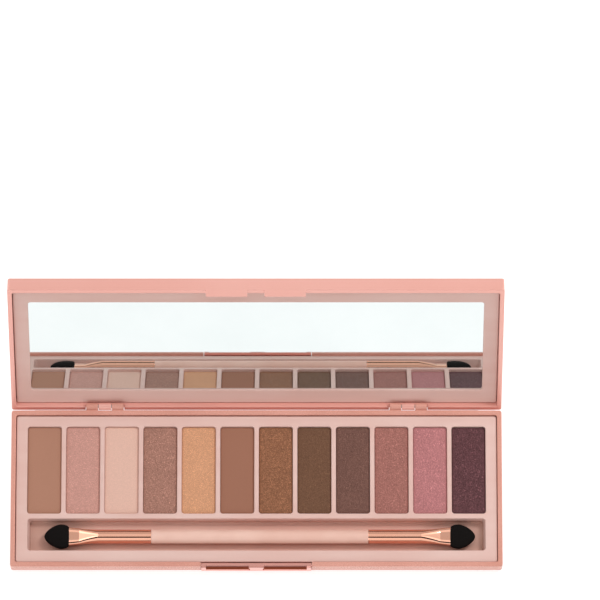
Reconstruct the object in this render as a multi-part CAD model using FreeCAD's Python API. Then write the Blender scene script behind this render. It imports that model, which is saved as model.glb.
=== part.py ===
import FreeCAD, Part
import math
import os

# Slim eyeshadow palette: a tray of pressed powders under a hinged mirror lid, with a press latch.
# Millimetres. X runs along the palette, -Y is the side with the latch, +Z is up.
# The origin is the centre of the underside of the base.

vec = FreeCAD.Vector

# overall
palette_length = 210.0
base_depth = 68.5
lid_depth = 72.7            # the lid reaches back over the hinge
base_height = 8.0
total_height = 16.0
wall = 2.0
corner_radius = 1.0
parting_gap = 0.3
base_floor = 1.2
lid_top = 1.6
edge_round = 0.25
lid_bevel = 0.8
foot_bevel = 0.9

# colour tray
tray_gap = 0.2
tray_face = 6.8
tray_corner = 1.0
tray_edge_round = 0.35
shade_count = 12
pocket_length = 38.2
pocket_width = 14.5
divider = 2.0
pocket_y = 8.3              # middle of the row of pockets
pocket_depth = 4.6
pocket_corner = 1.2
mouth_round = 0.35

# pans and powder
pan_clearance = 0.1
pan_wall = 0.35
pan_height = 3.3
powder_gap = 0.05
powder_height = 3.0
powder_round = 0.2

# applicator well
well_length = 196.0
well_width = 14.0
well_y = -20.0
well_floor = 1.6
well_end_draft = 1.4
well_side_draft = 0.3
well_corner = 1.2
well_floor_round = 0.5

# double-ended applicator
applicator_y = -20.5
applicator_x = 1.4          # it lies a little to the right of the middle
applicator_z = 4.75
handle_length = 92.8
handle_radius = 2.95
handle_round = 0.3
ferrule_length = 35.0
ferrule_radius = 3.0
ferrule_flare = 22.4        # where the round tube starts to spread
ferrule_crease = 30.7       # where the flat crimped panel starts
ferrule_crease_width = 6.9
ferrule_end_width = 7.8
ferrule_flat_thick = 3.15
ferrule_square = 3.4
ferrule_wall = 0.4
ferrule_bore = 11.0
handle_spigot = 5.0
sponge_length = 10.6
sponge_width = 10.6
sponge_thick = 5.0
core_width = 4.4
core_thick = 1.4
core_reach = 6.0            # how far the core goes into the sponge
core_tail = 9.0             # how far it goes back into the ferrule

# hinge
hinge_y = 36.0
hinge_z = 8.0
knuckle_radius = 1.5
pin_radius = 0.7
pin_bore = 0.75
hinge_stations = (-65.0, 65.0)
lid_knuckle = 5.4
base_knuckle = 5.0
knuckle_gap = 0.3
notch_clearance = 0.3
open_angle = 120.0
bore_reach = 12.0           # the pin's bore is drilled this far to each side
stop_reach = 0.5            # the rib on the base that the open lid leans on
stop_half_length = 95.0
stop_low = 5.0
stop_high = 6.3
stop_relief = 0.1           # the rib is cut back round the lid's knuckles

# press latch
latch_length = 47.0
latch_proud = 0.5
latch_bottom = 1.4
latch_lip = 2.9
latch_back = -33.05
latch_wall_front = -33.7
latch_rib = 6.4
latch_rib_foot = 5.2
latch_end = 2.0
latch_gap = 0.2
latch_bevel = 0.4
latch_ledge_back = -32.8    # a thin ledge on the bar's top narrows the gap behind it
latch_ledge_low = 7.0
flange_play = 0.15          # the end flanges stop on the wall after this much
flange_gap = 0.2
hollow_turn = 1.3           # height over the lip at which the hollow starts to curve
hollow_bow = 0.25
hollow_bow_height = 0.5
lip_round = 0.35
lip_rise = 0.12
flange_reach = 1.2
flange_low = 2.2
flange_high = 6.2
flange_front = -33.35
hook_gap = 0.45
hook_front = -34.2
hook_back = -33.9
hook_low = 4.6
barb_reach = 0.15
barb_height = 0.8
hook_root = 0.5
spring_half = 11.0
spring_height = 2.4
spring_thick = 0.15
spring_low = 2.9
spring_play = 0.3
relief_depth = 0.9

# lid insert, mirror and its pad
frame_face = 10.6
frame_plate = 1.2
frame_skirt = 1.2
frame_gap = 0.2
mirror_length = 196.0
mirror_width = 56.0
mirror_thick = 1.2
mirror_lip = 1.5            # the frame covers this much of the mirror's edge
mirror_recess = 0.7
mirror_clearance = 0.2
mirror_corner = 1.0
frame_round = 0.3
pad_margin = 3.0


def box(x0, x1, y0, y1, z0, z1):
    return Part.makeBox(x1 - x0, y1 - y0, z1 - z0, vec(x0, y0, z0))


def rounded_wire(length, width, radius, centre_y, z):
    """A rectangle with rounded corners, centred on x = 0."""
    hx = length / 2
    hy = width / 2
    k = radius * (1 - math.sqrt(0.5))
    edges = []
    corners = ((1, 1), (-1, 1), (-1, -1), (1, -1))
    points = []
    for sx, sy in corners:
        on_x = vec(sx * (hx - radius), centre_y + sy * hy, z)
        on_y = vec(sx * hx, centre_y + sy * (hy - radius), z)
        middle = vec(sx * (hx - k), centre_y + sy * (hy - k), z)
        points.append((on_y, middle, on_x) if sx == sy else (on_x, middle, on_y))
    for i, (first, middle, last) in enumerate(points):
        edges.append(Part.Arc(first, middle, last).toShape())
        edges.append(Part.makeLine(last, points[(i + 1) % 4][0]))
    return Part.Wire(edges)


def rounded_block(length, width, radius, centre_y, z0, z1):
    face = Part.Face(rounded_wire(length, width, radius, centre_y, z0))
    return face.extrude(vec(0, 0, z1 - z0))


def edges_at(shape, z):
    """Edges that lie in the plane at height z."""
    return [e for e in shape.Edges if abs(e.BoundBox.ZMin - z) < 1e-4 and abs(e.BoundBox.ZMax - z) < 1e-4]


def flared_block(z0, z1, lower, upper, centre_y, radius):
    """A block whose ends and sides slope from the lower to the upper size."""
    wires = [rounded_wire(lower[0], lower[1], radius, centre_y, z0),
             rounded_wire(upper[0], upper[1], radius, centre_y, z1)]
    return Part.makeLoft(wires, True, True)


def along_x(radius, x0, x1):
    return Part.makeCylinder(radius, x1 - x0, vec(x0, hinge_y, hinge_z), vec(1, 0, 0))


def profile_x(points, x0, x1):
    """A closed (y, z) outline carried along X."""
    corners = [vec(x0, y, z) for y, z in points]
    face = Part.Face(Part.makePolygon(corners + corners[:1]))
    return face.extrude(vec(x1 - x0, 0, 0))


def base_front():
    return -base_depth / 2


def shade_x(index):
    return (index - (shade_count - 1) / 2) * (pocket_width + divider)


def lid_centre_y():
    return base_front() + lid_depth / 2


def base_knuckle_spans(station):
    start = lid_knuckle / 2 + knuckle_gap
    return ((station - start - base_knuckle, station - start),
            (station + start, station + start + base_knuckle))


def make_base_shell():
    shell = rounded_block(palette_length, base_depth, corner_radius, 0, 0, base_height)
    shell = shell.makeChamfer(foot_bevel, edges_at(shell, 0))
    cavity = rounded_block(palette_length - 2 * wall, base_depth - 2 * wall, corner_radius, 0,
                           base_floor, base_height + 1)
    shell = shell.cut(cavity)
    shell = shell.makeFillet(edge_round, edges_at(shell, base_height))
    rear = base_depth / 2
    rib = box(-stop_half_length, stop_half_length, rear - wall / 2, rear + stop_reach, stop_low, stop_high)
    shell = shell.fuse(rib)
    for station in hinge_stations:
        for x0, x1 in base_knuckle_spans(station):
            web = box(x0, x1, rear - wall / 2, hinge_y, hinge_z - knuckle_radius, hinge_z)
            shell = shell.fuse(web).fuse(along_x(knuckle_radius, x0, x1))
        half = lid_knuckle / 2 + knuckle_gap
        shell = shell.cut(box(station - half, station + half, rear, rear + wall, stop_low - stop_relief,
                              stop_high + stop_relief))
        shell = shell.cut(along_x(pin_bore, station - bore_reach, station + bore_reach))
    return shell.cut(latch_notch()).removeSplitter()


def latch_notch():
    """The opening in the front wall for the press bar, wider inside for its end flanges."""
    half = latch_length / 2 + latch_gap
    front = base_front()
    mouth = box(-half, half, front - 1, front + wall, base_floor, base_height + 1)
    wide = half + flange_reach
    behind = box(-wide, wide, flange_front - flange_play, front + wall, flange_low - flange_gap,
                 flange_high + flange_gap)
    return mouth.fuse(behind)


def make_tray_insert():
    length = palette_length - 2 * wall - 2 * tray_gap
    width = base_depth - 2 * wall - 2 * tray_gap
    tray = rounded_block(length, width, tray_corner, 0, base_floor, tray_face)
    tray = tray.makeFillet(tray_edge_round, edges_at(tray, tray_face))
    floor_size = (well_length - 2 * well_end_draft, well_width - 2 * well_side_draft)
    well = flared_block(well_floor, tray_face + 1, floor_size, (well_length, well_width), well_y, well_corner)
    well = well.makeFillet(well_floor_round, edges_at(well, well_floor))
    tray = tray.cut(well)
    for index in range(shade_count):
        pocket = rounded_block(pocket_width, pocket_length, pocket_corner, pocket_y,
                               tray_face - pocket_depth, tray_face + 1)
        pocket.translate(vec(shade_x(index), 0, 0))
        tray = tray.cut(pocket)
    mouths = [e for e in edges_at(tray, tray_face)
              if abs(e.BoundBox.Center.x) < well_length / 2 + 1 and not on_rim(e, length, width)]
    tray = tray.makeFillet(mouth_round, mouths)
    relief = box(-spring_half - 1, spring_half + 1, -width / 2 - 1, -width / 2 + relief_depth,
                 spring_low - spring_play, spring_low + spring_height + spring_play)
    return tray.cut(relief)


def on_rim(edge, length, width):
    """True for the outline of the tray's top face."""
    b = edge.BoundBox
    return max(abs(b.YMin), abs(b.YMax)) > width / 2 - 1.5 or max(abs(b.XMin), abs(b.XMax)) > length / 2 - 1.5


def make_pan(index):
    width = pocket_width - 2 * pan_clearance
    length = pocket_length - 2 * pan_clearance
    z0 = tray_face - pocket_depth
    pan = rounded_block(width, length, pocket_corner, pocket_y, z0, z0 + pan_height)
    inside = rounded_block(width - 2 * pan_wall, length - 2 * pan_wall, pocket_corner - pan_wall, pocket_y,
                           z0 + pan_wall, z0 + pan_height + 1)
    pan = pan.cut(inside)
    pan.translate(vec(shade_x(index), 0, 0))
    return pan


def make_shadow(index):
    margin = 2 * (pan_clearance + pan_wall + powder_gap)
    z0 = tray_face - pocket_depth + pan_wall
    cake = rounded_block(pocket_width - margin, pocket_length - margin, pocket_corner - pan_wall, pocket_y,
                         z0, z0 + powder_height)
    cake = cake.makeFillet(powder_round, edges_at(cake, z0 + powder_height))
    cake.translate(vec(shade_x(index), 0, 0))
    return cake


def make_hinge_pin(station):
    half = lid_knuckle / 2 + knuckle_gap + base_knuckle
    return along_x(pin_radius, station - half, station + half)


def make_press_bar():
    front = base_front() - latch_proud
    half = latch_length / 2
    outline = [(front, latch_bottom), (latch_back, latch_bottom), (latch_back, base_height),
               (front + latch_bevel, base_height), (front, base_height - latch_bevel)]
    bar = profile_x(outline, -half, half)
    bar = bar.fuse(box(-half, half, latch_back - hollow_bow, latch_ledge_back, latch_ledge_low, base_height))
    for side in (-1, 1):
        x0 = side * (latch_rib / 2)
        x1 = side * (half - latch_end)
        bar = bar.cut(recess(min(x0, x1), max(x0, x1), front))
    for side in (-1, 1):
        x0 = side * latch_rib_foot / 2
        foot = [vec(x0, front - 1, latch_lip), vec(side * latch_rib / 2, front - 1, latch_lip),
                vec(side * latch_rib / 2, front - 1, base_height)]
        wedge = Part.Face(Part.makePolygon(foot + foot[:1])).extrude(vec(0, 1 + latch_wall_front - front, 0))
        bar = bar.cut(wedge)
        start = side * half
        end = side * (half + flange_reach)
        flange = box(min(start, end), max(start, end), flange_front, latch_back, flange_low, flange_high)
        bar = bar.fuse(flange)
    return bar.removeSplitter()


def recess(x0, x1, front):
    """The hollow that a hook of the lid drops into: a back wall, a concave floor and a low front lip."""
    top = base_height + 1
    turn = latch_lip + hollow_turn
    wall_top = vec(x0, latch_wall_front, top)
    wall_foot = vec(x0, latch_wall_front, turn)
    bend = vec(x0, latch_wall_front - hollow_bow, latch_lip + hollow_bow_height)
    lip_in = vec(x0, front + lip_round, latch_lip + lip_rise)
    lip_out = vec(x0, front - 1, latch_lip)
    edges = [Part.makeLine(wall_top, wall_foot),
             Part.Arc(wall_foot, bend, lip_in).toShape(),
             Part.makeLine(lip_in, lip_out),
             Part.makeLine(lip_out, vec(x0, front - 1, top)),
             Part.makeLine(vec(x0, front - 1, top), wall_top)]
    return Part.Face(Part.Wire(edges)).extrude(vec(x1 - x0, 0, 0))


def make_latch_spring():
    """A bowed steel leaf: its ends stand in the tray's relief and its crown pushes the bar outwards."""
    foot_y = -(base_depth / 2 - wall - tray_gap) + relief_depth - 0.05
    crown_y = latch_back + 0.02
    z0 = spring_low
    outer = Part.Arc(vec(-spring_half, foot_y - spring_thick, z0), vec(0, crown_y, z0),
                     vec(spring_half, foot_y - spring_thick, z0)).toShape()
    inner = Part.Arc(vec(spring_half, foot_y, z0), vec(0, crown_y + spring_thick, z0),
                     vec(-spring_half, foot_y, z0)).toShape()
    left = Part.makeLine(vec(-spring_half, foot_y, z0), vec(-spring_half, foot_y - spring_thick, z0))
    right = Part.makeLine(vec(spring_half, foot_y - spring_thick, z0), vec(spring_half, foot_y, z0))
    return Part.Face(Part.Wire([outer, right, inner, left])).extrude(vec(0, 0, spring_height))


def make_lid_shell():
    """Drawn closed, with its top face up."""
    z0 = base_height + parting_gap
    centre = lid_centre_y()
    shell = rounded_block(palette_length, lid_depth, corner_radius, centre, z0, total_height)
    shell = shell.makeChamfer(lid_bevel, edges_at(shell, total_height))
    cavity = rounded_block(palette_length - 2 * wall, lid_depth - 2 * wall, corner_radius, centre,
                           z0 - 1, total_height - lid_top)
    shell = shell.cut(cavity)
    shell = shell.makeFillet(edge_round, edges_at(shell, z0))
    rear = base_front() + lid_depth
    for station in hinge_stations:
        half = lid_knuckle / 2 + knuckle_gap + base_knuckle + knuckle_gap
        notch_top = hinge_z + knuckle_radius + notch_clearance
        notch = box(station - half, station + half, rear - wall - 0.01, rear + 1, z0 - 1, notch_top)
        shell = shell.cut(notch)
        tongue = box(station - lid_knuckle / 2, station + lid_knuckle / 2,
                     hinge_y, rear, hinge_z + 0.3, notch_top + 0.01)
        knuckle = along_x(knuckle_radius, station - lid_knuckle / 2, station + lid_knuckle / 2)
        shell = shell.fuse(tongue).fuse(knuckle)
        shell = shell.cut(along_x(pin_bore, station - bore_reach, station + bore_reach))
    for side in (-1, 1):
        shell = shell.fuse(make_hook(side, z0))
    return shell.removeSplitter()


def make_hook(side, z0):
    """A thin tongue under the lid's front wall, with a small barb towards the back."""
    inner = side * (latch_rib / 2 + hook_gap)
    outer = side * (latch_length / 2 - latch_end - hook_gap)
    outline = [(hook_front, z0 + hook_root), (hook_front, hook_low), (hook_back, hook_low),
               (hook_back + barb_reach, hook_low + barb_height), (hook_back, hook_low + barb_height),
               (hook_back, z0 + hook_root)]
    return profile_x(outline, min(inner, outer), max(inner, outer))


def make_mirror_frame():
    """A thin tray behind the mirror's window, with a skirt that stands on the lid's inner face."""
    centre = lid_centre_y()
    length = palette_length - 2 * wall - 2 * frame_gap
    width = lid_depth - 2 * wall - 2 * frame_gap
    top = total_height - lid_top
    frame = rounded_block(length, width, corner_radius, centre, frame_face, top)
    hollow = rounded_block(length - 2 * frame_skirt, width - 2 * frame_skirt, corner_radius, centre,
                           frame_face + frame_plate, top + 1)
    frame = frame.cut(hollow)
    seat = rounded_block(mirror_length + 2 * mirror_clearance, mirror_width + 2 * mirror_clearance,
                         mirror_corner + mirror_clearance, centre,
                         frame_face + mirror_recess, top + 1)
    window = rounded_block(mirror_length - 2 * mirror_lip, mirror_width - 2 * mirror_lip,
                           mirror_corner + mirror_clearance, centre,
                           frame_face - 1, top + 1)
    frame = frame.cut(seat).cut(window)
    return frame.makeFillet(frame_round, edges_at(frame, frame_face))


def make_mirror():
    z0 = frame_face + mirror_recess
    return rounded_block(mirror_length, mirror_width, mirror_corner, lid_centre_y(), z0, z0 + mirror_thick)


def make_mirror_pad():
    z0 = frame_face + mirror_recess + mirror_thick
    return rounded_block(mirror_length - 2 * pad_margin, mirror_width - 2 * pad_margin, mirror_corner,
                         lid_centre_y(), z0, total_height - lid_top)


def section(x, half_width, half_thick, squareness):
    """A closed smooth ring in the YZ plane: a circle at squareness 2, nearer a rectangle above that."""
    count = 20
    points = []
    for i in range(count):
        t = 2 * math.pi * i / count
        c = math.cos(t)
        s = math.sin(t)
        y = half_width * math.copysign(abs(c) ** (2 / squareness), c)
        z = half_thick * math.copysign(abs(s) ** (2 / squareness), s)
        points.append(vec(x, applicator_y + y, applicator_z + z))
    curve = Part.BSplineCurve()
    curve.interpolate(Points=points, PeriodicFlag=True)
    return Part.Wire([curve.toShape()])


def place_end(shape, side):
    """Carries a shape drawn pointing along +X from the handle's end to one end of the applicator."""
    if side < 0:
        shape = shape.mirror(vec(0, 0, 0), vec(1, 0, 0))
    shape.translate(vec(applicator_x + side * handle_length / 2, 0, 0))
    return shape


def make_handle():
    half = handle_length / 2
    x0 = applicator_x - half
    start = vec(x0, applicator_y, applicator_z)
    handle = Part.makeCylinder(handle_radius, handle_length, start, vec(1, 0, 0))
    handle = handle.makeFillet(handle_round, handle.Edges)
    reach = handle_length + 2 * handle_spigot
    start = vec(x0 - handle_spigot, applicator_y, applicator_z)
    spigot = Part.makeCylinder(ferrule_radius - ferrule_wall - 0.05, reach, start, vec(1, 0, 0))
    return handle.fuse(spigot)


def make_ferrule(side):
    """A round tube that spreads and flattens, then a crimped panel that starts at a crease."""
    r = ferrule_radius
    crease_w = ferrule_crease_width / 2
    flat_t = ferrule_flat_thick / 2
    flare = []
    for way in (0.0, 0.25, 0.5, 0.75, 1.0):
        x = ferrule_flare + way * (ferrule_crease - ferrule_flare)
        wide = r + (crease_w - r) * way ** 3
        thick = r + (flat_t - r) * (0.75 * way + 0.25 * way ** 2)
        flare.append(section(x, wide, thick, 2.0 + (ferrule_square - 2.0) * way))
    mouth = section(0.0, r, r, 2.0)
    end = section(ferrule_length, ferrule_end_width / 2, flat_t, ferrule_square)
    body = Part.makeLoft([mouth, flare[0]], True, True)
    body = body.fuse(Part.makeLoft(flare, True, False))
    body = body.fuse(Part.makeLoft([flare[-1], end], True, True))
    start = vec(-1, applicator_y, applicator_z)
    bore = Part.makeCylinder(r - ferrule_wall, ferrule_bore + 1, start, vec(1, 0, 0))
    core = core_box(ferrule_length - core_tail - 0.1, ferrule_length + 1, 0.05)
    return place_end(body.cut(bore).cut(core), side)


def core_box(x0, x1, extra):
    half_w = core_width / 2 + extra
    half_t = core_thick / 2 + extra
    return box(x0, x1, applicator_y - half_w, applicator_y + half_w,
               applicator_z - half_t, applicator_z + half_t)


def make_tip_core(side):
    return place_end(core_box(ferrule_length - core_tail, ferrule_length + core_reach, 0), side)


def make_sponge(side):
    """A spade-shaped foam tip: blunt at the ferrule, widest near it, then tapering to a rounded end."""
    outline = ((0.0, 0.78, 0.84), (0.10, 0.93, 0.95), (0.30, 1.0, 1.0), (0.46, 0.95, 0.98),
               (0.60, 0.82, 0.92), (0.75, 0.62, 0.80), (0.88, 0.41, 0.60), (0.96, 0.22, 0.34),
               (1.0, 0.07, 0.10))
    rings = []
    for along, wide, thick in outline:
        x = ferrule_length + 0.1 + along * (sponge_length - 0.1)
        rings.append(section(x, wide * sponge_width / 2, thick * sponge_thick / 2, 2.3))
    body = Part.makeLoft(rings, True, False)
    core = core_box(ferrule_length - 1, ferrule_length + core_reach + 0.1, 0.05)
    return place_end(body.cut(core), side)


def opened(shape):
    """Swings a lid part from closed to its open rest position."""
    turned = shape.copy()
    turned.rotate(vec(0, hinge_y, hinge_z), vec(-1, 0, 0), open_angle)
    return turned


def export(name, shape):
    solids = shape.Solids
    if len(solids) != 1 or not shape.isValid():
        print("CHECK", name, "solids", len(solids), "valid", shape.isValid())
    solids[0].exportStep("parts/" + name + ".step")


def main():
    os.makedirs("parts", exist_ok=True)
    export("base_shell", make_base_shell())
    export("tray_insert", make_tray_insert())
    for index in range(shade_count):
        number = "%02d" % (index + 1)
        export("pan_" + number, make_pan(index))
        export("shadow_" + number, make_shadow(index))
    for side, name in ((-1, "left"), (1, "right")):
        export("hinge_pin_" + name, make_hinge_pin(hinge_stations[(side + 1) // 2]))
        export("ferrule_" + name, make_ferrule(side))
        export("sponge_tip_" + name, make_sponge(side))
        export("tip_core_" + name, make_tip_core(side))
    export("applicator_handle", make_handle())
    export("press_bar", make_press_bar())
    export("latch_spring", make_latch_spring())
    export("lid_shell", opened(make_lid_shell()))
    export("mirror_frame", opened(make_mirror_frame()))
    export("mirror", opened(make_mirror()))
    export("mirror_pad", opened(make_mirror_pad()))


main()
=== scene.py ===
import math

import bpy
import numpy as np
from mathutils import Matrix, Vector


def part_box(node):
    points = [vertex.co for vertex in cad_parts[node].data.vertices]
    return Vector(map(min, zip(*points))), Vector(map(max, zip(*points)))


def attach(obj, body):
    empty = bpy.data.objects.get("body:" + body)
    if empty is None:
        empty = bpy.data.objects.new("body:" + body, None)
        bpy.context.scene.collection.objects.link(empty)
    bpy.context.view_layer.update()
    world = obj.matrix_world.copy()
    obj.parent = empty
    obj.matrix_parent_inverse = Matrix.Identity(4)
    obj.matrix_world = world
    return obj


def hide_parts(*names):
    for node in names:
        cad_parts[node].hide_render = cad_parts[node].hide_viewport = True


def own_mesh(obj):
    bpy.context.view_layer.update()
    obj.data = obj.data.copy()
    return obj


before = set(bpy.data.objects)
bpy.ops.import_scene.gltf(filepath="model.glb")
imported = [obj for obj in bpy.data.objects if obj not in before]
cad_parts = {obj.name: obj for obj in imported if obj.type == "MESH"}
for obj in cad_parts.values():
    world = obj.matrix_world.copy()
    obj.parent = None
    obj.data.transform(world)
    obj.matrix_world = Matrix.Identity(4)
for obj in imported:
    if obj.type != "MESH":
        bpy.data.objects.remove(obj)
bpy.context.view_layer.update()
mm = 0.001
print("frame loaded:", len(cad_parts), "nodes")


# Shading: a socket that can be used in plain arithmetic, and a recipe that holds one node tree.

class Signal:
    def __init__(self, recipe, socket):
        self.recipe = recipe
        self.socket = socket

    def maths(self, operation, *values):
        inputs = {i: value for i, value in enumerate(values)}
        return self.recipe.add("ShaderNodeMath", inputs, {"operation": operation})

    def __add__(self, other):
        return self.maths("ADD", self, other)

    def __radd__(self, other):
        return self.maths("ADD", other, self)

    def __sub__(self, other):
        return self.maths("SUBTRACT", self, other)

    def __rsub__(self, other):
        return self.maths("SUBTRACT", other, self)

    def __mul__(self, other):
        return self.maths("MULTIPLY", self, other)

    def __rmul__(self, other):
        return self.maths("MULTIPLY", other, self)

    def __truediv__(self, other):
        return self.maths("DIVIDE", self, other)

    def __neg__(self):
        return self.maths("MULTIPLY", self, -1.0)

    def over(self, low, high):            # 0 below low, 1 above high, smooth between
        inputs = {"Value": self, "From Min": low, "From Max": high}
        return self.recipe.add("ShaderNodeMapRange", inputs, {"interpolation_type": "SMOOTHSTEP"})


class Recipe:
    def __init__(self, name, world=False):
        if world:
            self.owner = bpy.data.worlds.new(name)
            bpy.context.scene.world = self.owner
        else:
            self.owner = bpy.data.materials.new(name)
        self.owner.use_nodes = True
        self.tree = self.owner.node_tree
        self.tree.nodes.clear()
        place = self.tree.nodes.new("ShaderNodeTexCoord")
        self.place = Signal(self, place.outputs["Generated" if world else "Object"])

    def add(self, kind, inputs, settings=None, output=0):
        node = self.tree.nodes.new(kind)
        for name, value in (settings or {}).items():
            if name == "stops":
                while len(node.color_ramp.elements) < len(value):
                    node.color_ramp.elements.new(0.5)
                for element, (at, colour) in zip(node.color_ramp.elements, value):
                    element.position = at
                    element.color = tuple(colour) + (1.0,)
            else:
                setattr(node, name, value)
        for name, value in inputs.items():
            if isinstance(value, Signal):
                self.tree.links.new(value.socket, node.inputs[name])
            else:
                socket = node.inputs[name]
                long = hasattr(socket.default_value, "__len__") and len(socket.default_value) == 4
                socket.default_value = tuple(value) + (1.0,) if long and len(value) == 3 else value
        return Signal(self, node.outputs[output] if len(node.outputs) else None)

    def axes(self):                       # the three coordinates as separate signals
        split = self.add("ShaderNodeSeparateXYZ", {0: self.place})
        return [Signal(self, output) for output in split.socket.node.outputs]

    def grey(self, level):
        return self.add("ShaderNodeCombineColor", {0: level, 1: level, 2: level})

    def cells(self, size, output=0):      # output 0 is the distance to a cell's middle, 1 its random colour
        return self.add("ShaderNodeTexVoronoi", {"Vector": self.place, "Scale": 1.0 / size}, output=output)

    def noise(self, size, detail=2.0, place=None, rough=0.5):      # size of the largest blotch, in metres
        inputs = {"Vector": place or self.place, "Scale": 1.0 / size, "Detail": detail, "Roughness": rough}
        return self.add("ShaderNodeTexNoise", inputs)

    def stretched(self, x, y, z):         # Object coordinates multiplied per axis
        return self.add("ShaderNodeVectorMath", {0: self.place, 1: (x, y, z)}, {"operation": "MULTIPLY"})

    def mix(self, factor, a, b, mode="MIX"):
        settings = {"data_type": "RGBA", "blend_type": mode}
        return self.add("ShaderNodeMix", {0: factor, 6: a, 7: b}, settings, output=2)

    def bump(self, height, distance, strength=1.0):
        return self.add("ShaderNodeBump", {"Height": height, "Distance": distance, "Strength": strength})

    def finish(self, **sockets):
        words = {name.replace("_", " "): value for name, value in sockets.items()}
        shader = self.add("ShaderNodeBsdfPrincipled", words)
        self.add("ShaderNodeOutputMaterial", {"Surface": shader})
        return self.owner


def sRgb(r, g, b):                        # screen colour, 0 to 255, to the linear colour that shaders use
    c = np.array([r, g, b]) / 255.0
    return tuple(float(v) for v in np.where(c <= 0.04045, c / 12.92, ((c + 0.055) / 1.055) ** 2.4))


def closedRings(name, rings, crease=50):
    # rings[i, j] is point j of ring i; quads join neighbouring rings and a flat face closes each end.
    count, around = rings.shape[:2]
    i, j = np.meshgrid(np.arange(count - 1), np.arange(around), indexing="ij")
    k = (j + 1) % around
    quads = np.stack([i * around + j, i * around + k, (i + 1) * around + k, (i + 1) * around + j], -1)
    quads = quads.reshape(-1, 4)
    points = rings.reshape(-1, 3)
    a, b, c, d = (points[quads[:, n]] for n in range(4))
    flux = np.einsum("ij,ij->", a + b + c + d, np.cross(c - a, d - b))
    first = np.arange(around)[::-1]
    last = (count - 1) * around + np.arange(around)
    faces = quads.tolist() + [first.tolist(), last.tolist()]
    if flux < 0:
        faces = [face[::-1] for face in faces]
    mesh = bpy.data.meshes.new(name)
    mesh.from_pydata(points.tolist(), [], faces)
    mesh.validate()
    mesh.shade_smooth()
    mesh.set_sharp_from_angle(angle=math.radians(crease))
    piece = bpy.data.objects.new(name, mesh)
    bpy.context.collection.objects.link(piece)
    return piece


def roundedOutline(width, length, radius, arc=8, side=14):
    # A rectangle with quarter-circle corners, walked anticlockwise, as an array of (x, y) about its centre.
    turns = np.linspace(0.0, math.pi / 2, arc)
    rows = []
    for quarter, (sx, sy) in enumerate(((1, 1), (-1, 1), (-1, -1), (1, -1))):
        angle = turns + quarter * math.pi / 2
        cx = sx * (width / 2 - radius)
        cy = sy * (length / 2 - radius)
        rows.append(np.stack([cx + radius * np.cos(angle), cy + radius * np.sin(angle)], -1))
    outline = []
    for quarter in range(4):
        here = rows[quarter]
        ahead = rows[(quarter + 1) % 4][0]
        steps = np.linspace(0.0, 1.0, side + 2)[1:-1, None]
        outline.append(here)
        outline.append(here[-1] + steps * (ahead - here[-1]))
    return np.concatenate(outline)


def ring(x, halfWidth, halfThick, square, around=64):
    # A superellipse in the YZ plane, for each x given:
    # |y / halfWidth| ^ square + |z / halfThick| ^ square = 1.
    t = np.linspace(0.0, 2 * math.pi, around, endpoint=False)[None, :]
    power = 2.0 / np.asarray(square)[:, None]
    y = np.asarray(halfWidth)[:, None] * np.sign(np.cos(t)) * np.abs(np.cos(t)) ** power
    z = np.asarray(halfThick)[:, None] * np.sign(np.sin(t)) * np.abs(np.sin(t)) ** power
    return np.stack([np.asarray(x)[:, None] + 0 * t, y, z], -1)


def centred(rings, low, high):
    # Moves rings built about the X axis to the middle of a box in Y and Z.
    rings[..., 1] += (low[1] + high[1]) / 2
    rings[..., 2] += (low[2] + high[2]) / 2
    return rings


edgeShape = {"weld": 0.002 * mm, "segments": 3, "angle": 30.0}


def mergedCopy(name, node, look, bevel=0.0):
    # A CAD node's mesh with its doubles merged, and its sharp edges bevelled if asked.
    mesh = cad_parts[node].data.copy()
    mesh.name = name
    mesh.materials.clear()
    piece = bpy.data.objects.new(name, mesh)
    bpy.context.collection.objects.link(piece)
    weld = piece.modifiers.new("weld", "WELD")
    weld.merge_threshold = look["weld"]
    if bevel:
        edge = piece.modifiers.new("edges", "BEVEL")
        edge.width = bevel
        edge.segments = look["segments"]
        edge.limit_method = "ANGLE"
        edge.angle_limit = math.radians(look["angle"])
        edge.harden_normals = True
    return piece


def dress(node, material):
    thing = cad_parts[node]
    thing.data.materials.clear()
    thing.data.materials.append(material)


def settle(piece, body, material, slot, *nodes):
    # The piece takes its material, rides on its body and stands for its CAD nodes.
    piece.data.materials.clear()
    piece.data.materials.append(material)
    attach(piece, body)
    if nodes:
        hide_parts(*nodes)


# Case: satin rose-gold lacquer with a fine metal flake

caseLook = {"light": (223, 163, 148), "deep": (215, 152, 136), "cloud": 30 * mm, "metal": 0.16, "rough": 0.26,
            "coat": 0.03, "shine": 0.15}
lidLook = {"light": (242, 181, 169), "deep": (237, 172, 159), "cloud": 90 * mm, "metal": 0.25, "rough": 0.13,
           "coat": 0.6, "shine": 0.3}
lacquerLook = {"flake": 0.12 * mm, "flakeTone": 0.03, "flakeRough": 0.05, "cloudTone": 0.8,
               "cloudRough": 0.04, "grain": 0.5 * mm, "relief": 0.0015 * mm, "coatRough": 0.06}


def caseLacquer(name, colours, look):
    r = Recipe(name)
    cloud = r.noise(colours["cloud"])
    flake = r.add("ShaderNodeSeparateColor", {0: r.cells(look["flake"], output=1)})
    grain = r.noise(look["grain"])
    patch = cloud.over(0.3, 0.7) * look["cloudTone"]
    base = r.mix(patch, sRgb(*colours["deep"]), sRgb(*colours["light"]))
    base = r.mix(look["flakeTone"], base, r.grey(flake), "OVERLAY")
    roughness = colours["rough"] + look["cloudRough"] * (cloud - 0.5) + look["flakeRough"] * (flake - 0.5)
    return r.finish(Base_Color=base, Roughness=roughness, Metallic=colours["metal"],
                    Normal=r.bump(grain * 0.7 + flake * 0.3, look["relief"], 0.15),
                    Specular_IOR_Level=colours["shine"], Coat_Weight=colours["coat"],
                    Coat_Roughness=look["coatRough"])


# Colour tray and mirror frame: satin moulded plastic

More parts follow.
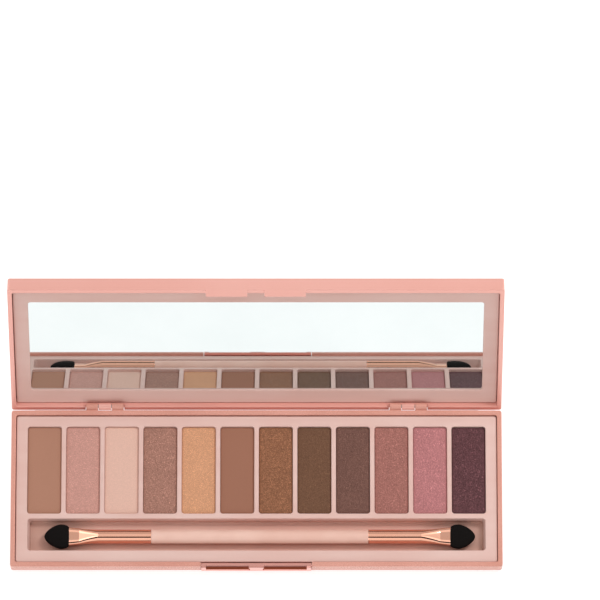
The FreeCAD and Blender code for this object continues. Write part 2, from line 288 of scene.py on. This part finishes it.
trayLook = {"colour": (224, 190, 181), "warm": (219, 180, 170), "rough": 0.46, "grain": 0.22 * mm}
# Painted shade for the tray's hollows: colours multiplied in below the height none and fully below full, with
# ends towards the well's two ends and middle near its centre.
trayHollowShade = {"ends": (227, 210, 199), "middle": (255, 241, 232), "full": 1.9 * mm, "none": 4.2 * mm,
              "endFrom": 66 * mm, "endTo": 80 * mm}
plasticLook = {"cloud": 45 * mm, "flow": (30.0, 160.0, 160.0), "grainTone": 0.05, "grainRough": 0.12,
               "cloudRough": 0.08, "relief": 0.010 * mm}


def mouldedPlastic(name, colours, look, deep=None):
    r = Recipe(name)
    cloud = r.noise(look["cloud"])
    flow = r.noise(1.0, 2.0, r.stretched(*look["flow"]))
    grain = r.noise(colours["grain"], 3.0, rough=0.6)
    drift = (0.6 * cloud + 0.4 * flow).over(0.35, 0.65)
    base = r.mix(drift, sRgb(*colours["colour"]), sRgb(*colours["warm"]))
    base = r.mix(look["grainTone"], base, r.grey(grain), "OVERLAY")
    if deep:                              # painted shade: the hollows darken towards their floor, most of all towards the well's two ends
        x, y, z = r.axes()
        nearTip = x.maths("ABSOLUTE", x).over(deep["endFrom"], deep["endTo"])
        dustAndShade = r.mix(nearTip, sRgb(*deep["middle"]), sRgb(*deep["ends"]))
        base = r.mix(1.0 - z.over(deep["full"], deep["none"]), base, dustAndShade, "MULTIPLY")
    roughness = colours["rough"] + look["grainRough"] * (grain - 0.5) + look["cloudRough"] * (cloud - 0.5)
    return r.finish(Base_Color=base, Roughness=roughness, Normal=r.bump(grain, look["relief"], 0.5))


# Polished metals

goldLook = {"colour": (255, 200, 175), "deep": (252, 182, 153), "rough": 0.06}
latchLook = {"colour": (252, 188, 177), "deep": (246, 172, 159), "rough": 0.14}
tinLook = {"colour": (205, 203, 200), "deep": (168, 166, 163), "rough": 0.32}
steelLook = {"colour": (196, 194, 192), "deep": (150, 149, 148), "rough": 0.22}
brushed = (8.0, 900.0, 900.0)             # fine lines along X
rolled = (300.0, 300.0, 300.0)            # even grain, as on tin plate
metalLook = {"smudge": 9 * mm, "smudgeRough": 0.05, "lineRough": 0.05, "relief": 0.0015 * mm}

# The latch's two hollows: where they lie across and behind the bar's front, the painted shade that darkens
# them towards their floor, and the duller roughness inside them.
latchHollowShade = {"fromX": 3.3 * mm, "toX": 21.5 * mm, "backY": -33.68 * mm, "lipY": -34.42 * mm,
                "floorZ": 3.6 * mm, "topZ": 7.9 * mm, "colour": (130, 64, 43), "least": 0.45, "rough": 0.22,
                "edge": 0.1 * mm, "lipEdge": 0.06 * mm, "backEdge": 0.01 * mm}


def hollowMask(r, look):
    # How far a point lies inside a hollow, and that amount made weaker towards the hollow's top.
    x, y, z = r.axes()
    reach = x.maths("ABSOLUTE", x)
    across = reach.over(look["fromX"] - look["edge"], look["fromX"])
    across = across * (1.0 - reach.over(look["toX"], look["toX"] + look["edge"]))
    inside = across * y.over(look["lipY"] - look["lipEdge"], look["lipY"] + look["lipEdge"])
    inside = inside * (1.0 - y.over(look["backY"], look["backY"] + look["backEdge"]))
    depth = 1.0 - z.over(look["floorZ"], look["topZ"])
    return inside, inside * (look["least"] + (1.0 - look["least"]) * depth)


def polishedMetal(name, colours, along, look, dark=None):
    r = Recipe(name)
    lines = r.noise(1.0, 3.0, r.stretched(*along))
    smudge = r.noise(look["smudge"], 4.0, rough=0.6)
    base = r.mix(0.5 * smudge + 0.5 * lines, sRgb(*colours["colour"]), sRgb(*colours["deep"]))
    roughness = colours["rough"] + look["smudgeRough"] * smudge.over(0.45, 0.75)
    roughness = roughness + look["lineRough"] * (lines - 0.4)
    if dark:
        # painted shade: the hollows' colour darkens towards their floor; their roughness rises too
        inside, shade = hollowMask(r, dark)
        base = r.mix(shade, base, sRgb(*dark["colour"]))
        roughness = roughness + dark["rough"] * inside
    return r.finish(Base_Color=base, Roughness=roughness, Metallic=1.0,
                    Normal=r.bump(lines, look["relief"], 0.4))


# Applicator: plastic handle and foam

handleLook = {"colour": (238, 198, 183), "deep": (230, 185, 169), "rough": 0.34, "cloud": 18 * mm,
              "grain": 0.16 * mm, "grainRough": 0.08, "relief": 0.006 * mm, "rings": 600.0, "ringRough": 0.02,
              "coat": 0.15, "coatRough": 0.25}
foamLook = {"colour": (18, 14, 13), "deep": (5, 4, 4), "pore": 0.22 * mm, "warp": 0.9 * mm, "lump": 2.4 * mm,
            "relief": 0.08 * mm, "rough": 0.86, "shine": 0.12}
coreLook = {"colour": (226, 222, 214), "warm": (214, 208, 198), "rough": 0.5, "grain": 0.3 * mm}


def handlePlastic(name, look):
    r = Recipe(name)
    cloud = r.noise(look["cloud"])
    grain = r.noise(look["grain"])
    turned = r.noise(1.0, 0.0, r.stretched(look["rings"], 0.0, 0.0))
    base = r.mix(cloud.over(0.3, 0.7), sRgb(*look["colour"]), sRgb(*look["deep"]))
    roughness = look["rough"] + look["grainRough"] * (grain - 0.5)
    roughness = roughness + (1.0 - (turned - 0.5)) * look["ringRough"]
    return r.finish(Base_Color=base, Roughness=roughness, Normal=r.bump(grain, look["relief"], 0.4),
                    Coat_Weight=look["coat"], Coat_Roughness=look["coatRough"])


def foam(name, look):
    r = Recipe(name)
    warp = r.noise(look["warp"])
    pore = r.cells(look["pore"]).over(0.05, 0.45)
    lump = r.noise(look["lump"], 3.0)
    base = r.mix(pore * 0.7 + 0.3 * warp, sRgb(*look["deep"]), sRgb(*look["colour"]))
    height = pore * 0.6 + lump * 0.6 + warp * 0.3
    return r.finish(Base_Color=base, Roughness=look["rough"] + 0.1 * (warp - 0.5),
                    Normal=r.bump(height, look["relief"], 0.55), Specular_IOR_Level=look["shine"])


# Mirror and its pad

mirrorLook = {"tint": (224, 229, 229), "deep": (214, 221, 221), "haze": 35 * mm, "dustAndShade": 0.7 * mm,
              "rough": 0.012, "hazeRough": 0.015, "dustRough": 0.05}
tapeLook = {"colour": (232, 229, 222), "warm": (220, 214, 204), "rough": 0.85, "grain": 0.6 * mm}


def mirrorGlass(name, look):
    r = Recipe(name)
    haze = r.noise(look["haze"], 4.0, rough=0.6)
    dustAndShade = r.noise(look["dustAndShade"]).over(0.70, 0.80)
    base = r.mix(haze, sRgb(*look["tint"]), sRgb(*look["deep"]))
    roughness = look["rough"] + look["hazeRough"] * haze + look["dustRough"] * dustAndShade
    return r.finish(Base_Color=base, Metallic=1.0, Roughness=roughness)


# Powders. shimmer is how much pearl the cake holds, grain the size of its flakes.

shades = [
    {"colour": (173, 126, 105), "shimmer": 0.00, "grain": 0.30 * mm},
    {"colour": (198, 147, 135), "shimmer": 0.34, "grain": 0.30 * mm},
    {"colour": (222, 181, 165), "shimmer": 0.12, "grain": 0.26 * mm},
    {"colour": (162, 117, 102), "shimmer": 0.60, "grain": 0.30 * mm},
    {"colour": (207, 152, 116), "shimmer": 0.42, "grain": 0.26 * mm},
    {"colour": (156, 108, 88), "shimmer": 0.00, "grain": 0.30 * mm},
    {"colour": (139, 92, 65), "shimmer": 0.62, "grain": 0.30 * mm},
    {"colour": (108, 74, 53), "shimmer": 0.42, "grain": 0.28 * mm},
    {"colour": (110, 75, 65), "shimmer": 0.50, "grain": 0.28 * mm},
    {"colour": (158, 103, 94), "shimmer": 0.52, "grain": 0.28 * mm},
    {"colour": (179, 117, 118), "shimmer": 0.48, "grain": 0.26 * mm},
    {"colour": (89, 52, 56), "shimmer": 0.60, "grain": 0.30 * mm},
]
powderLook = {"fine": 0.16 * mm, "press": 0.9 * mm, "drift": 14 * mm, "flakes": 1.15, "mottle": 0.05,
              "driftTone": (0.05, 0.16), "fineTone": (0.10, 0.16), "flakeTone": 0.80, "sparkTone": 0.55,
              "relief": (0.020 * mm, 0.020 * mm), "tilt": 0.60, "matteRough": 0.88, "pearlRough": 0.62,
              "shine": 0.25}


def pressedPowder(name, shade, look):
    # Each pair in look is a matte powder's value and what a full shimmer adds to it.
    r = Recipe(name)
    shimmer = shade["shimmer"]
    driftTone, fineTone, relief = (low + more * shimmer for low, more in
                                   (look["driftTone"], look["fineTone"], look["relief"]))
    fine = r.noise(look["fine"], 3.0, rough=0.7)
    press = r.noise(look["press"], 3.0)
    drift = r.noise(look["drift"])
    random = r.cells(shade["grain"] / look["flakes"], output=1)
    flake = r.add("ShaderNodeSeparateColor", {0: random})
    spark = flake.over(0.93 - 0.10 * shimmer, 0.99)
    tone = 1.0 + look["mottle"] * (press - 0.5) + driftTone * (drift - 0.5) + fineTone * (fine - 0.5)
    tone = tone + look["flakeTone"] * shimmer * (flake - 0.5) + look["sparkTone"] * shimmer * (spark - 0.08)
    base = r.mix(1.0, sRgb(*shade["colour"]), r.grey(tone), "MULTIPLY")
    dents = r.bump(fine * 0.6 + press * 0.5, relief, 0.6)
    if not shimmer:
        return r.finish(Base_Color=base, Roughness=look["matteRough"] + 0.06 * (fine - 0.5), Normal=dents,
                        Specular_IOR_Level=look["shine"])
    tilt = r.add("ShaderNodeVectorMath", {0: random, 1: (0.5, 0.5, 0.5)}, {"operation": "SUBTRACT"})
    tilt = r.add("ShaderNodeVectorMath", {0: tilt, "Scale": look["tilt"] * shimmer}, {"operation": "SCALE"})
    facing = r.add("ShaderNodeVectorMath", {0: dents, 1: tilt}, {"operation": "ADD"})
    facing = r.add("ShaderNodeVectorMath", {0: facing}, {"operation": "NORMALIZE"})
    metal = 0.25 * shimmer + 0.5 * shimmer * spark
    roughness = look["pearlRough"] - 0.12 * shimmer - 0.22 * spark + 0.1 * (fine - 0.5)
    return r.finish(Base_Color=base, Roughness=roughness, Metallic=metal, Normal=facing,
                    Specular_IOR_Level=look["shine"])


cakeShape = {"spill": 0.04 * mm, "edge": 0.32 * mm, "drop": 0.16 * mm, "crown": 0.05 * mm, "rise": 0.06 * mm,
             "rings": 14, "crowd": 1.9, "corner": 1.2 * mm, "innerCorner": 0.85 * mm, "least": 0.02 * mm,
             "core": 0.05 * mm, "lip": 0.02 * mm, "swell": 0.012 * mm, "swellX": 2.6 * mm, "swellY": 5.1 * mm}


def powderCake(number, look):
    # Rings of a rounded rectangle that shrink towards its middle line, d being how far one is inset. Over
    # the cake's place stands rise + crown * (1 - (1 - d / deepest) ** 2) - drop * (1 - d / edge) ** 2, the
    # last term only within edge of the border, plus a faint swell, a sine of x times a sine of y.
    low, high = (np.array(c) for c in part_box("shadow_" + number))
    panLow, panHigh = (np.array(c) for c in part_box("pan_" + number))
    centre = (panLow + panHigh) / 2
    size = panHigh - panLow + 2 * look["spill"]
    phase = int(number)
    top = high[2] + look["rise"]
    deepest = size[0] / 2 - look["core"]
    rows = []
    for d in deepest * np.linspace(0.0, 1.0, look["rings"]) ** look["crowd"]:
        corner = max(look["corner"] - d, look["least"])
        x, y = roundedOutline(size[0] - 2 * d, size[1] - 2 * d, corner).T
        border = max(0.0, 1.0 - d / look["edge"]) ** 2
        crown = look["crown"] * (1 - (1 - d / deepest) ** 2)
        swell = look["swell"] * np.sin(x / look["swellX"] + phase) * np.sin(y / look["swellY"] + 2.0 * phase)
        z = top + crown - look["drop"] * border + swell * (1 - border)
        rows.append(np.stack([centre[0] + x, centre[1] + y, z], -1))
    rim = rows[0].copy()
    rim[:, 2] = panHigh[2] + look["lip"]
    x, y = roundedOutline(high[0] - low[0], high[1] - low[1], look["innerCorner"]).T
    neck = np.stack([centre[0] + x, centre[1] + y, 0 * x + rim[0, 2]], -1)
    foot = neck.copy()
    foot[:, 2] = low[2]
    return closedRings("powder_cake_" + number, np.stack([foot, neck, rim] + rows))


handleShape = {"round": 0.35 * mm, "straight": 2 * mm, "steps": 40}


def handleTube(look):
    # A straight round bar whose ends are rounded by a quarter circle.
    low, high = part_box("applicator_handle")
    radius = (high[2] - low[2]) / 2
    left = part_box("ferrule_left")[1][0]
    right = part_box("ferrule_right")[0][0]
    quarter = np.linspace(0.0, math.pi / 2, 6)
    end = look["round"] * (1 - np.cos(quarter))
    inset = look["round"] * (1 - np.sin(quarter))
    middle = np.linspace(left + look["straight"], right - look["straight"], look["steps"])
    x = np.concatenate([left + end, middle, (right - end)[::-1]])
    r = np.concatenate([radius - inset, np.full(look["steps"], radius), (radius - inset)[::-1]])
    return closedRings("handle_bar", centred(ring(x, r, r, np.full(x.size, 2.0)), low, high))


ferruleShape = {"tube": 2.97 * mm, "endWide": 3.92 * mm, "panelWide": 3.45 * mm, "flatThick": 1.55 * mm,
                "flareFrom": 0.64, "panelFrom": 0.877, "square": 3.6, "lip": 0.03 * mm, "crease": 12}


def ferruleTube(side, look):
    # u runs from the handle to the tip. Up to flareFrom the section is a circle. From there the half width
    # grows with the cube of the way and the half thickness falls in a nearly straight line, as far as
    # panelFrom, where they meet the crimped panel at a crease; the panel widens in a straight line.
    node = "ferrule_" + side
    low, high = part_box(node)
    flare, crease = look["flareFrom"], look["panelFrom"]
    u = np.concatenate([np.array([0.0, 0.002, 0.005]), np.linspace(0.008, flare, 10),
                        np.linspace(flare + 0.008, crease - 0.004, 40),
                        np.array([crease - 0.0015, crease, crease + 0.0015]),
                        np.linspace(crease + 0.006, 0.986, 8), np.array([0.992, 0.997, 1.0])])
    way = np.clip((u - flare) / (crease - flare), 0.0, 1.0)
    last = np.clip((u - crease) / (1.0 - crease), 0.0, 1.0)
    wide = look["tube"] + (look["panelWide"] - look["tube"]) * way ** 3
    wide = wide + (look["endWide"] - look["panelWide"]) * last
    thick = look["tube"] + (look["flatThick"] - look["tube"]) * (0.75 * way + 0.25 * way ** 2)
    square = 2.0 + (look["square"] - 2.0) * way ** 1.3
    edge = look["lip"] * (np.clip((0.005 - u) / 0.005, 0, 1) ** 2 + np.clip((u - 0.992) / 0.008, 0, 1) ** 2)
    x = (low[0] + high[0]) / 2 + (u - 0.5) * (high[0] - low[0]) * (1 if side == "right" else -1)
    rings = centred(ring(x, wide - edge, thick - edge, square, 96), low, high)
    return closedRings(node + "_metal", rings, look["crease"])


spongeShape = {"wide": 5.3 * mm, "thick": 2.5 * mm, "shoulder": 0.34, "neck": 0.76, "square": 2.25,
               "crease": 60}


def spongeTip(side, look):
    # u runs from the ferrule to the tip. The half width rises along a quarter sine from the neck to the
    # shoulder, then falls as (1 - t ** 1.5) ** 0.6, where t is the share of the way from shoulder to tip;
    # the half thickness follows the same rise and the square root of 1 - t ** 2.2.
    node = "sponge_tip_" + side
    low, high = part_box(node)
    nose = 1.0 - 0.12 * np.linspace(1.0, 0.0, 18)[1:] ** 2.2
    u = np.concatenate([np.linspace(0.0, 0.12, 12), np.linspace(0.14, 0.88, 40), nose])
    climb = np.clip(u / look["shoulder"], 0, 1) ** 0.62
    rise = look["neck"] + (1 - look["neck"]) * np.sin(climb * math.pi / 2)
    t = np.clip((u - look["shoulder"]) / (1.0 - look["shoulder"]), 0.0, 0.9998)
    wide = look["wide"] * rise * (1 - t ** 1.5) ** 0.6
    thick = look["thick"] * (0.55 + 0.45 * rise) * (1 - t ** 2.2) ** 0.5
    x0, x1 = (low[0], high[0]) if side == "right" else (high[0], low[0])
    rings = centred(ring(x0 + u * (x1 - x0), wide, thick, np.full(u.size, look["square"]), 96), low, high)
    return closedRings(node + "_foam", rings, look["crease"])


def springLeaf(metal):
    # A merged copy of the latch spring, riding on the base with its own mesh.
    leaf = mergedCopy("latch_leaf", "latch_spring", edgeShape)
    settle(leaf, "base", metal, "steel", "latch_spring")
    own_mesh(leaf)


barShape = {"bevel": 0.10 * mm}


caseOuter = caseLacquer("rose lacquer", caseLook, lacquerLook)
lidOuter = caseLacquer("gloss rose lacquer", lidLook, lacquerLook)
trayPlastic = mouldedPlastic("tray plastic", trayLook, plasticLook, trayHollowShade)
framePlastic = mouldedPlastic("frame plastic", dict(trayLook, rough=0.4), plasticLook)
roseGold = polishedMetal("polished rose gold", goldLook, brushed, metalLook)
latchGold = polishedMetal("latch rose gold", latchLook, brushed, metalLook, latchHollowShade)
tin = polishedMetal("tin plate", tinLook, rolled, metalLook)
steel = polishedMetal("steel", steelLook, brushed, metalLook)
handlePink = handlePlastic("pink handle plastic", handleLook)
blackFoam = foam("black foam", foamLook)
corePlastic = mouldedPlastic("core plastic", coreLook, plasticLook)
mirrorFace = mirrorGlass("mirror glass", mirrorLook)
foamTape = mouldedPlastic("foam tape", tapeLook, plasticLook)
print("materials made")

dress("base_shell", caseOuter)
dress("lid_shell", lidOuter)
dress("tray_insert", trayPlastic)
dress("mirror_frame", framePlastic)
dress("mirror", mirrorFace)
dress("mirror_pad", foamTape)
springLeaf(steel)
for side in ("left", "right"):
    dress("hinge_pin_" + side, steel)
    dress("tip_core_" + side, corePlastic)
    ferrule = ferruleTube(side, ferruleShape)
    settle(ferrule, "applicator", roseGold, "polished_rose_gold", "ferrule_" + side)
    sponge = spongeTip(side, spongeShape)
    settle(sponge, "applicator", blackFoam, "black_foam", "sponge_tip_" + side)
settle(handleTube(handleShape), "applicator", handlePink, "handle_plastic", "applicator_handle")
bar = mergedCopy("latch_bar", "press_bar", edgeShape, barShape["bevel"])
settle(bar, "press_bar", latchGold, "polished_rose_gold", "press_bar")
for index, shade in enumerate(shades):
    number = "%02d" % (index + 1)
    dress("pan_" + number, tin)
    powder = pressedPowder("powder " + number, shade, powderLook)
    settle(powderCake(number, cakeShape), "base", powder, "powder_" + number, "shadow_" + number)
print("pieces built")


# Studio: pale floor, a sky in bands of light, a soft key from the right rear, camera

floorLook = {"pale": (248, 247, 246), "deep": (246, 244, 242), "dim": 0.72, "cloud": 0.4, "cloudTone": 0.3,
             "rough": 0.10, "cloudRough": 0.05, "half": 4.0, "drop": 0.05 * mm, "glow": 0.62,
             "glowColour": (0.975, 0.99, 1.0)}


def makeFloor(look):
    mesh = bpy.data.meshes.new("floor")
    half, drop = look["half"], look["drop"]
    corners = [(-half, -half, -drop), (half, -half, -drop), (half, half, -drop), (-half, half, -drop)]
    mesh.from_pydata(corners, [], [(0, 1, 2, 3)])
    floor = bpy.data.objects.new("floor", mesh)
    bpy.context.collection.objects.link(floor)
    r = Recipe("pale floor")
    cloud = r.noise(look["cloud"])
    pale, deep = (tuple(v * look["dim"] for v in sRgb(*look[name])) for name in ("pale", "deep"))
    base = r.mix(cloud * look["cloudTone"], pale, deep)
    mesh.materials.append(r.finish(Base_Color=base, Roughness=look["rough"] + look["cloudRough"] * cloud,
                                   Emission_Color=look["glowColour"], Emission_Strength=look["glow"]))


# bands: degrees from the front horizon over the top to the back one, and brightness. The camera's own
# direction is dark, as in a studio, which draws the thin dark line on the polished metal. Each side has a
# panel of light from sideFrom to sideTo along X, and the sky is a little brighter along its middle.
skyLook = {"tint": (1.0, 0.985, 0.97), "level": 0.387, "sides": 2.2, "rightShare": 0.55,
           "sideFrom": (0.12, 0.30), "sideTo": (0.45, 0.70), "sideDrop": 0.85, "middle": 0.55,
           "middleTo": (0.10, 0.24),
           "bands": ((0, 0.60), (12, 0.70), (18, 1.60), (54, 1.70), (59, 0.05), (79, 0.05), (81, 1.90),
                     (92, 1.80), (97, 1.02), (108, 1.02), (112, 1.70), (122, 1.60), (130, 0.75),
                     (139, 0.75), (147, 1.20), (165, 1.20), (175, 0.80), (180, 0.70))}


def makeSky(look):
    w = Recipe("studio light", world=True)
    across, front, rise = w.axes()
    turn = rise.maths("ARCTAN2", rise, -front) / math.pi
    stops = [(degrees / 180.0, (level / 2,) * 3) for degrees, level in look["bands"]]      # a ramp stops at 1
    band = w.add("ShaderNodeRGBToBW", {0: w.add("ShaderNodeValToRGB", {"Fac": turn}, {"stops": stops})})
    left, right = (x.over(*look["sideFrom"]) * (1.0 - look["sideDrop"] * x.over(*look["sideTo"]))
                   for x in (-across, across))
    sides = left + look["rightShare"] * right
    middle = 1.0 - across.maths("ABSOLUTE", across).over(*look["middleTo"])
    level = band * (1.0 + look["sides"] * sides + look["middle"] * middle) * (2.0 * look["level"])
    shader = w.add("ShaderNodeBackground", {"Color": look["tint"], "Strength": level})
    w.add("ShaderNodeOutputWorld", {"Surface": shader})


keyLook = {"power": 4.1, "from": (0.60, 0.42, 0.90), "size": 0.25}


def makeKey(look):
    lamp = bpy.data.lights.new("key", "AREA")
    lamp.shape = "DISK"
    lamp.size = look["size"]
    lamp.energy = look["power"]
    key = bpy.data.objects.new("key", lamp)
    key.location = look["from"]
    key.rotation_euler = (-Vector(look["from"])).to_track_quat("-Z", "Y").to_euler()
    bpy.context.collection.objects.link(key)


cameraLook = {"aim": (18.6 * mm, 85.4 * mm, 0.0), "elevation": 75.0, "distance": 3.0, "field": 259.0 * mm,
              "sensor": 36.0}


def makeCamera(look):
    lens = bpy.data.cameras.new("camera")
    lens.sensor_width = look["sensor"]
    lens.lens = look["sensor"] * look["distance"] / look["field"]
    camera = bpy.data.objects.new("camera", lens)
    tilt = math.radians(look["elevation"])
    aim = Vector(look["aim"])
    camera.location = aim + look["distance"] * Vector((0.0, -math.cos(tilt), math.sin(tilt)))
    camera.rotation_euler = (math.pi / 2 - tilt, 0.0, 0.0)
    bpy.context.collection.objects.link(camera)
    bpy.context.scene.camera = camera


makeFloor(floorLook)
makeSky(skyLook)
makeKey(keyLook)
makeCamera(cameraLook)
bpy.context.scene.view_settings.view_transform = "Standard"
print("studio set")
